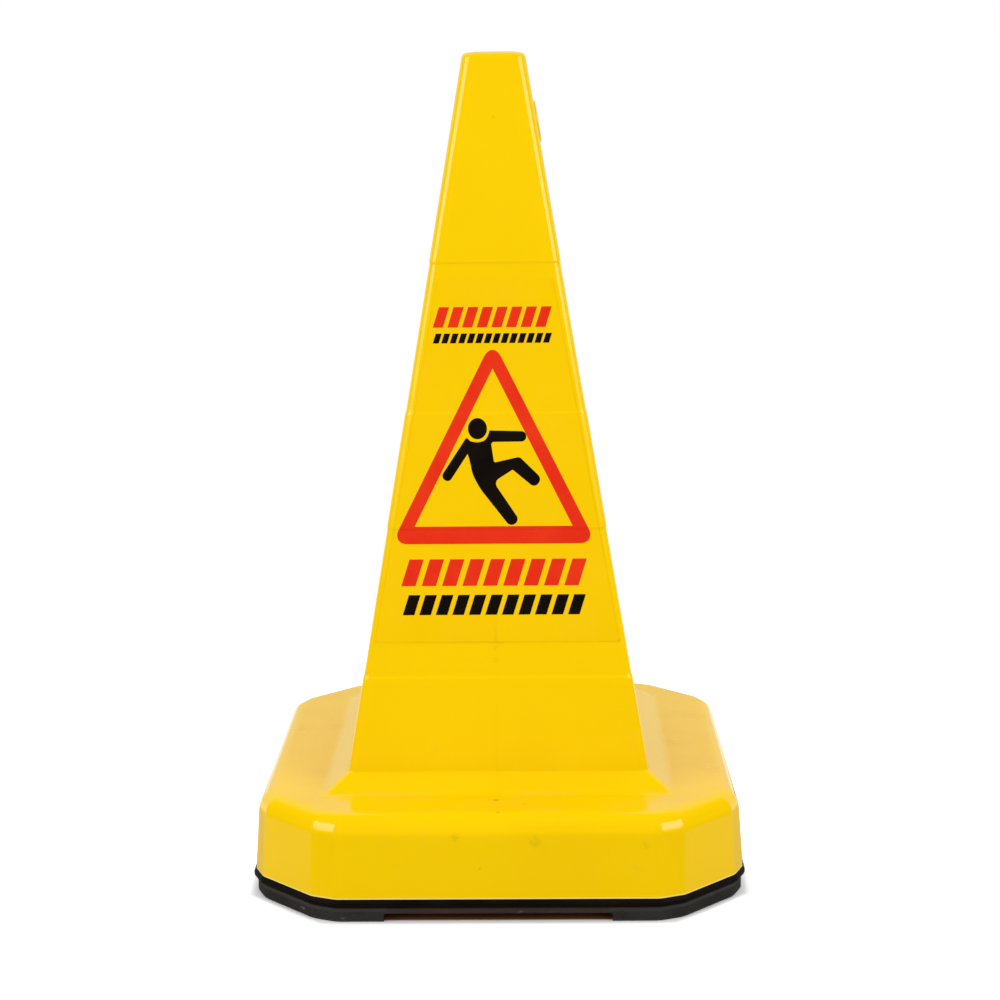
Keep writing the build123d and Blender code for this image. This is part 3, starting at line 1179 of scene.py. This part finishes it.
@dataclass
class PictogramLabel:
    """The printed film on the front face and the ink on it.

    Attributes:
        side_spare: How far each side of the film reaches past its solid.
        tent_height: How far the film stands off over the parting line at its foot.
        bubbles: Place across and up, radius and height of each bubble, in millimetres.
    """

    form: ConeForm
    red: PrintInk = PrintInk("red_ink", (0.755, 0.023, 0.005), (0.815, 0.045, 0.006))
    black: PrintInk = PrintInk("black_ink", (0.006, 0.004, 0.003), (0.012, 0.008, 0.004))
    thickness: float = 0.30 * MM
    ink_thickness: float = 0.06 * MM
    head_half: float = 47.1 * MM
    side_spare: float = 3.6 * MM
    corner_radius: float = 1.5 * MM
    corner_segments: int = 5
    grid: float = 2.5 * MM
    print_shift: float = -2.4 * MM
    print_rise: float = 1.4 * MM
    tent_height: float = 0.35 * MM
    tent_half: float = 3.5 * MM
    tent_length: float = 22.0 * MM
    bubbles: tuple[tuple[float, float, float, float], ...] = (
        (-41.0, 484.0, 3.2, 0.28), (33.5, 480.0, 2.6, 0.24),
        (59.0, 350.5, 3.0, 0.26), (-70.0, 231.0, 3.6, 0.20),
    )

    def __post_init__(self) -> None:
        """Take the ends of the film from the frame."""
        low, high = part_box("front_label")
        self.foot_z = low.z
        self.head_z = high.z
        self.foot_half = high.x + self.side_spare

    def depth(self, z: float) -> float:
        """How far the face under the film is let in, over the ramp and the lip.

        Args:
            z: Height above the floor.

        Returns:
            The distance behind the plain face.
        """
        form = self.form
        if z > form.upper_band_z:
            return form.band_depth * min(1.0, (z - form.upper_band_z) / form.band_ramp)
        return form.band_depth * min(1.0, max(0.0, (form.middle_tier_z - z) / form.lip_run))

    def folds(self) -> tuple[float, ...]:
        """Heights at which the face under the film turns in or out.

        Returns:
            The heights, from the lowest up.
        """
        form = self.form
        lip = (form.middle_tier_z - form.lip_run, form.middle_tier_z)
        return (*lip, form.upper_band_z, form.upper_band_z + form.band_ramp)

    def lift(self, x: float, z: float) -> float:
        """How far the film stands off at bubbles and over the parting line.

        Args:
            x: Distance to the right of the axis.
            z: Height above the floor.

        Returns:
            The distance in metres.
        """
        total = 0.0
        for bubble in self.bubbles:
            bubble_x, bubble_z, radius, height = (size * MM for size in bubble)
            away = ((x - bubble_x) ** 2 + (z - bubble_z) ** 2) / radius**2
            total += height * math.exp(-away)
        fade = max(0.0, 1.0 - (z - self.foot_z) / self.tent_length)
        return total + self.tent_height * fade * math.exp(-((x / self.tent_half) ** 2))

    def corner_recess(self, x: float, z: float) -> float:
        """How far the rounded corner of the cone falls back beside its flat face.

        Args:
            x: Distance to the right of the axis.
            z: Height above the floor.

        Returns:
            The distance behind the flat face.
        """
        depth = self.depth(z)
        radius = self.form.corner(z) - depth
        over = max(0.0, abs(x) - self.form.face(z, depth) + radius)
        return radius - math.sqrt(radius**2 - min(over, radius) ** 2)

    def front(self, x: float, z: float) -> float:
        """Place of the film's printed side, as the y coordinate at a distance from the axis and a height."""
        wall = self.corner_recess(x, z) - self.form.face(z, self.depth(z))
        return wall - self.thickness - self.lift(x, z)

    def lay(self, mesh: PieceMesh, proud: float, thickness: float) -> None:
        """Lay a flat drawing on the film and give it its thickness.

        Args:
            mesh: Drawing with x to the right and y up, in metres.
            proud: How far its front stands in front of the film.
            thickness: Its thickness.
        """
        mesh.cut_grid((-self.foot_half, self.foot_z), (self.foot_half, self.head_z), self.grid)
        for level in self.folds():
            mesh.cut(DRAWING_UP * level, DRAWING_UP)
        for vert in mesh.bm.verts:
            x, z = vert.co.x, vert.co.y
            vert.co = Vector((x, self.front(x, z) - proud, z))
        mesh.turn_outwards()
        mesh.bm.normal_update()
        if sum(face.normal.y for face in mesh.bm.faces) > 0.0:
            bmesh.ops.reverse_faces(mesh.bm, faces=list(mesh.bm.faces))
        mesh.thicken(thickness)

    def film(self) -> Object:
        """Model and dress the film.

        Returns:
            The piece that stands for the label.
        """
        mesh = PieceMesh()
        made = bmesh.ops.create_grid(mesh.bm, x_segments=1, y_segments=1, size=1.0)
        for vert in made["verts"]:
            half, z = (self.head_half, self.head_z) if vert.co.y > 0.0 else (self.foot_half, self.foot_z)
            vert.co = Vector((math.copysign(half, vert.co.x), z, 0.0))
        mesh.soften_corners(made["verts"], self.corner_radius, self.corner_segments)
        self.lay(mesh, 0.0, self.thickness)
        vinyl = LabelVinyl(self.foot_z, self.head_z, self.foot_half, self.head_half)
        piece = mesh.to_piece("label_film", vinyl.material())
        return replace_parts(piece, "front_label")

    def print_piece(self, name: str, drawing: Drawing, ink: Material) -> Object:
        """Print one drawing on the film.

        Args:
            name: Name of the printed piece.
            drawing: What is printed.
            ink: Material of the ink.

        Returns:
            The printed piece.
        """
        mesh = PieceMesh()
        drawing.draw(mesh)
        shift = Vector((self.print_shift, self.print_rise, 0.0))
        bmesh.ops.translate(mesh.bm, verts=list(mesh.bm.verts), vec=shift)
        self.lay(mesh, self.ink_thickness, self.ink_thickness)
        return mesh.to_piece(name, ink)

    def build(self) -> list[Object]:
        """Model and dress the film and its print.

        Returns:
            The film and the printed pieces.
        """
        red = self.red.material()
        black = self.black.material()
        prints = (
            ("red_triangle", SignTriangle(), red),
            ("slipping_figure", SlippingFigure(), black),
            ("red_blocks", RED_BLOCKS, red),
            ("black_blocks", BLACK_BLOCKS, black),
        )
        film = self.film()
        return [film, *(self.print_piece(name, drawing, ink) for name, drawing, ink in prints)]


@dataclass
class BaseSeal:
    """The black rubber seal: an L section under the rim with a rounded lip round the skirt."""

    form: ConeForm
    finish: Rubber = Rubber(
        "seal_rubber", colour=(0.005, 0.0026, 0.0014), dust_and_highlight=(0.010, 0.0055, 0.003),
        scuff=(0.02, 0.016, 0.012), scuff_share=0.2, roughness=0.42, specular=0.10,
    )
    opening_inset: float = 28.0 * MM
    lip_top_z: float = 19.2 * MM
    crown_z: float = 16.4 * MM
    belly_z: float = 13.4 * MM
    lip_rounding: float = 1.6 * MM
    groove_inset: float = 1.0 * MM
    arc_segments: int = 4

    def __post_init__(self) -> None:
        """Take the foot and the reach of the lip from the frame."""
        low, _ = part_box("base_seal")
        self.foot_z = low.z
        self.bulge = self.form.skirt_half + low.x

    def lip_profile(self) -> list[Corner]:
        """Upright profile of the bulging lip, from the groove over the plinth up to the skirt.

        Returns:
            The points of the profile, each as its inset from the outline of the base.
        """
        form = self.form
        skirt = form.skirt_draft * (self.lip_top_z - form.rim_z) / form.skirt_height
        corners = (
            Corner(self.groove_inset, self.foot_z),
            Corner(self.bulge, self.belly_z, self.lip_rounding),
            Corner(self.bulge, self.crown_z, self.lip_rounding),
            Corner(skirt, self.lip_top_z),
        )
        return rounded_profile(corners, self.arc_segments)

    def build(self) -> Object:
        """Model and dress the seal.

        Returns:
            The piece that stands for the seal.
        """
        rim_z = self.form.rim_z
        mesh = PieceMesh()
        rings = self.form.plan_rings(mesh, (
            *((point.out, point.z) for point in self.lip_profile()),
            (0.0, rim_z), (self.opening_inset, rim_z), (self.opening_inset, self.foot_z),
        ))
        mesh.wall(*rings, rings[0])
        mesh.turn_outwards()
        piece = mesh.to_piece("rubber_seal", self.finish.material())
        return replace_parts(piece, "base_seal")


@dataclass
class BallastBase:
    """The weighted plinth ring with its feet, rivets and washers, kept as the frame has them."""

    ring: Rubber = Rubber(
        "ballast_rubber", colour=(0.0160, 0.0142, 0.0128), dust_and_highlight=(0.045, 0.041, 0.037),
        scuff=(0.12, 0.115, 0.105), scuff_share=0.7, roughness=0.60, specular=0.30,
        # Painted highlights along the plinth's top and bottom edges.
        painted_edge_highlights=((7.6 * MM, 10.4 * MM), (1.8 * MM, 0.9 * MM)), bar=(0.048, 0.024, 0.017),
    )
    rivets: PlainMetal = PlainMetal("rivet_aluminium", (0.72, 0.72, 0.74), (0.42, 0.42, 0.43), 0.32)
    washers: PlainMetal = PlainMetal("washer_steel", (0.60, 0.60, 0.62), (0.38, 0.37, 0.36), 0.28)

    def build(self) -> None:
        """Give the nodes of the base, which stay in view, their finishes."""
        finishes = {"ballast_base": self.ring, "base_rivets": self.rivets, "rivet_washers": self.washers}
        for node, finish in finishes.items():
            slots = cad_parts[node].data.materials
            slots.clear()
            slots.append(finish.material())
            log.info("node %s dressed", node)


@dataclass(frozen=True)
class GlowBand:
    """One band of a softbox.

    Attributes:
        name: Name of the band.
        low: Elevation of its lower edge in degrees, seen from the object.
        high: Elevation of its upper edge.
        glow: Radiance of its face.
    """

    name: str
    low: float
    high: float
    glow: float


@dataclass
class Softbox:
    """Large soft studio lamp, well off to one side of the front, hung as bands that fade downwards.

    Attributes:
        azimuth: Direction of the lamp in degrees to the right of the front.
        spread: Width of the lamp in degrees, seen from the object.
        distance: Distance from the object.
        aim_z: Height that the lamp points at.
    """

    name: str
    azimuth: float
    spread: float = 38.0
    distance: float = 8.0
    aim_z: float = 0.35
    bands: tuple[GlowBand, ...] = (
        GlowBand("main", 16.8, 36.0, 3.3),
        GlowBand("fade", 14.0, 16.8, 1.9),
        GlowBand("foot", 10.0, 14.0, 0.7),
    )

    def across(self, degrees: float) -> float:
        """Length that an angle spans at the distance of the lamp."""
        return 2.0 * self.distance * math.tan(math.radians(degrees / 2.0))

    def build(self) -> None:
        """Hang the bands and turn them to the object."""
        turn = Matrix.Rotation(math.radians(self.azimuth), 3, "Z")
        for band in self.bands:
            data = bpy.data.lights.new(f"{self.name}_{band.name}", "AREA")
            data.shape = "RECTANGLE"
            data.size = self.across(self.spread)
            data.size_y = self.across(band.high - band.low)
            data.energy = band.glow * math.pi * data.size * data.size_y
            lamp = bpy.data.objects.new(data.name, data)
            rise = Matrix.Rotation(math.radians((band.low + band.high) / 2.0), 3, "X")
            away = turn @ rise.inverted() @ Vector((0.0, -self.distance, 0.0))
            lamp.location = away + Vector((0.0, 0.0, self.aim_z))
            lamp.rotation_euler = (-away).to_track_quat("-Z", "Y").to_euler()
            lamp.visible_camera = False
            bpy.context.scene.collection.objects.link(lamp)


@dataclass
class Studio:
    """Pale floor, white surroundings, soft lamps and the camera of the photograph.

    Attributes:
        floor_fade: Distance from which the floor fades into the backdrop.
        floor_bounce: Floor colour for the light that it sends up.
        front_mirrored: Floor colour that the object mirrors in front of mirror_from.
        back_mirrored: The same behind mirror_to.
        far_mirrored: The same behind far_to.
        painted_gap_shade: Painted shade on the floor under the base, seen in the gaps between the feet.
        painted_shade_half: How far that painted shade reaches from the axis.
        painted_shade_gap: Half of the width of a gap.
        floor_lift: Glow that keeps the open floor white.
        lift_from: Distance from the axis at which the glow starts.
        lift_corner: Length taken off the sum of both distances, so that the glow follows the cut corners.
        ambient_low: Strength of the fill light at and below the horizon.
        ambient_high: Strength of the fill light overhead.
        far_floor: Strength that the floor further away adds to it below the horizon.
        mirrored_from: y of a direction at which the mirrored backdrop starts.
        sweep_top: z of a direction at which the mirrored floor starts to fade into the backdrop.
    """

    focal: float = 77.05
    sensor: float = 36.0
    camera_place: Place = (0.0281, -1.7934, 0.653)
    camera_pitch: float = 11.12
    camera_yaw: float = 0.845
    camera_roll: float = -0.543
    floor_half: float = 0.9
    floor_fade: float = 0.35
    floor_colour: Colour = grey(0.92)
    floor_bounce: Colour = grey(0.54)
    front_mirrored: Colour = grey(0.02)
    back_mirrored: Colour = grey(0.32)
    far_mirrored: Colour = grey(0.90)
    mirror_from: float = -0.30
    mirror_to: float = -0.12
    far_from: float = 0.12
    far_to: float = 0.30
    painted_gap_shade: Colour = (0.25, 0.100, 0.040)
    painted_shade_half: float = 0.1935
    painted_shade_edge: float = 0.1965
    painted_shade_gap: float = 0.0905
    floor_lift: float = 0.60
    lift_from: float = 0.198
    lift_to: float = 0.212
    lift_corner: float = 0.140
    ambient_low: float = 0.70
    ambient_high: float = 1.10
    far_floor: float = 0.22
    far_floor_from: float = -0.40
    mirrored_from: float = 0.30
    mirrored_to: float = 0.62
    sweep_top: float = -0.06
    sweep_mirrored: float = 1.0
    backdrop_mirrored: float = 0.62
    lamps: tuple[Softbox, ...] = (Softbox("left_softbox", -61.0), Softbox("right_softbox", 61.0))

    def world(self) -> None:
        """White backdrop that is seen and mirrored, a dark room on the camera's side, and fill light."""
        world = bpy.data.worlds.new("studio")
        bpy.context.scene.world = world
        world.cycles.sampling_method = "NONE"
        nodes = Nodes(world, "ShaderNodeOutputWorld", "Generated")
        paths = nodes.add("ShaderNodeLightPath").outputs
        _, y, z = nodes.axes()
        fill = nodes.window(z, 0.0, 1.0, self.ambient_low, self.ambient_high, Ease.EVEN)
        below = nodes.window(z, self.far_floor_from, 0.0, self.far_floor, 0.0, Ease.EVEN)
        rise = nodes.window(z, self.sweep_top, 0.0, self.sweep_mirrored, self.backdrop_mirrored, Ease.EVEN)
        room = nodes.window(y, self.mirrored_from, self.mirrored_to, 0.0, rise)
        light = nodes.math("ADD", fill, below)
        unseen = nodes.feed(nodes.add("ShaderNodeMix"), Factor=paths["Is Glossy Ray"], A=light, B=room)
        seen = nodes.most(paths["Is Camera Ray"], paths["Is Transmission Ray"], unseen.outputs["Result"])
        nodes.close(nodes.feed(nodes.add("ShaderNodeBackground"), Color=WHITE, Strength=seen))

    def floor_finish(self) -> Material:
        """Make the pale floor, which takes the shadow, has painted shade under the base in the gaps between
        the feet, fades into the backdrop and is clear from below.

        Returns:
            The material.
        """
        nodes = Nodes.of_material("pale_floor")
        paths = nodes.add("ShaderNodeLightPath").outputs
        seen = nodes.most(paths["Is Camera Ray"], paths["Is Transmission Ray"])
        x, y, _ = nodes.axes()
        across = nodes.math("ABSOLUTE", x)
        along = nodes.math("ABSOLUTE", y)
        reach = nodes.most(across, along)
        # Painted shade: under the base, between the feet, the floor takes a dark brown colour that stands in
        # for its deep shadow.
        at_feet = nodes.math("GREATER_THAN", nodes.math("MINIMUM", across, along), self.painted_shade_gap)
        open_floor = nodes.most(nodes.window(reach, self.painted_shade_half, self.painted_shade_edge), at_feet)
        back = nodes.blend(nodes.window(y, self.far_from, self.far_to), self.back_mirrored, self.far_mirrored)
        mirrored = nodes.blend(nodes.window(y, self.mirror_from, self.mirror_to), self.front_mirrored, back)
        unseen = nodes.blend(paths["Is Glossy Ray"], self.floor_bounce, mirrored)
        pale = nodes.blend(seen, unseen, self.floor_colour)
        colour = nodes.blend(open_floor, self.painted_gap_shade, pale)
        matt = nodes.feed(nodes.add("ShaderNodeBsdfDiffuse"), Color=colour)
        corner_reach = nodes.math("SUBTRACT", nodes.math("ADD", across, along), self.lift_corner)
        clear_of_part = nodes.window(nodes.most(reach, corner_reach), self.lift_from, self.lift_to)
        lift = nodes.times(clear_of_part, seen, self.floor_lift)
        glow = nodes.feed(nodes.add("ShaderNodeEmission"), Color=WHITE, Strength=lift)
        lit = nodes.feed(nodes.add("ShaderNodeAddShader"), matt.outputs[0], glow.outputs[0])
        from_below = nodes.add("ShaderNodeNewGeometry").outputs["Backfacing"]
        away = nodes.feed(nodes.add("ShaderNodeVectorMath", operation="LENGTH"), nodes.place).outputs["Value"]
        gone = nodes.most(from_below, nodes.window(away, self.floor_fade, self.floor_half))
        clear = nodes.add("ShaderNodeBsdfTransparent")
        shown = nodes.add("ShaderNodeMixShader")
        return nodes.close(nodes.feed(shown, gone, lit.outputs[0], clear.outputs[0]))

    def floor(self) -> None:
        """Lay the floor under the part."""
        bm = bmesh.new()
        bmesh.ops.create_grid(bm, x_segments=1, y_segments=1, size=self.floor_half)
        mesh = bpy.data.meshes.new("floor")
        bm.to_mesh(mesh)
        bm.free()
        mesh.materials.append(self.floor_finish())
        floor = bpy.data.objects.new("floor", mesh)
        bpy.context.scene.collection.objects.link(floor)

    def camera(self) -> None:
        """Set the camera at the viewing angle of the photograph."""
        data = bpy.data.cameras.new("camera")
        data.lens = self.focal
        data.sensor_width = self.sensor
        camera = bpy.data.objects.new("camera", data)
        camera.location = self.camera_place
        turn = Matrix.Rotation(math.radians(self.camera_yaw), 4, "Z")
        tilt = Matrix.Rotation(math.radians(90.0 - self.camera_pitch), 4, "X")
        roll = Matrix.Rotation(math.radians(self.camera_roll), 4, "Z")
        camera.rotation_euler = (turn @ tilt @ roll).to_euler()
        bpy.context.scene.collection.objects.link(camera)
        bpy.context.scene.camera = camera

    def build(self) -> None:
        """Set up the studio."""
        bpy.context.scene.view_settings.view_transform = "Standard"
        self.world()
        self.floor()
        for lamp in self.lamps:
            lamp.build()
        self.camera()


def main() -> None:
    """Build the pieces in order, then the studio."""
    logging.basicConfig(level=logging.INFO, format="%(name)s: %(message)s")
    form = ConeForm()
    ConeShell(form).build()
    PictogramLabel(form).build()
    BaseSeal(form).build()
    BallastBase().build()
    Studio().build()


if __name__ == "__main__":
    main()
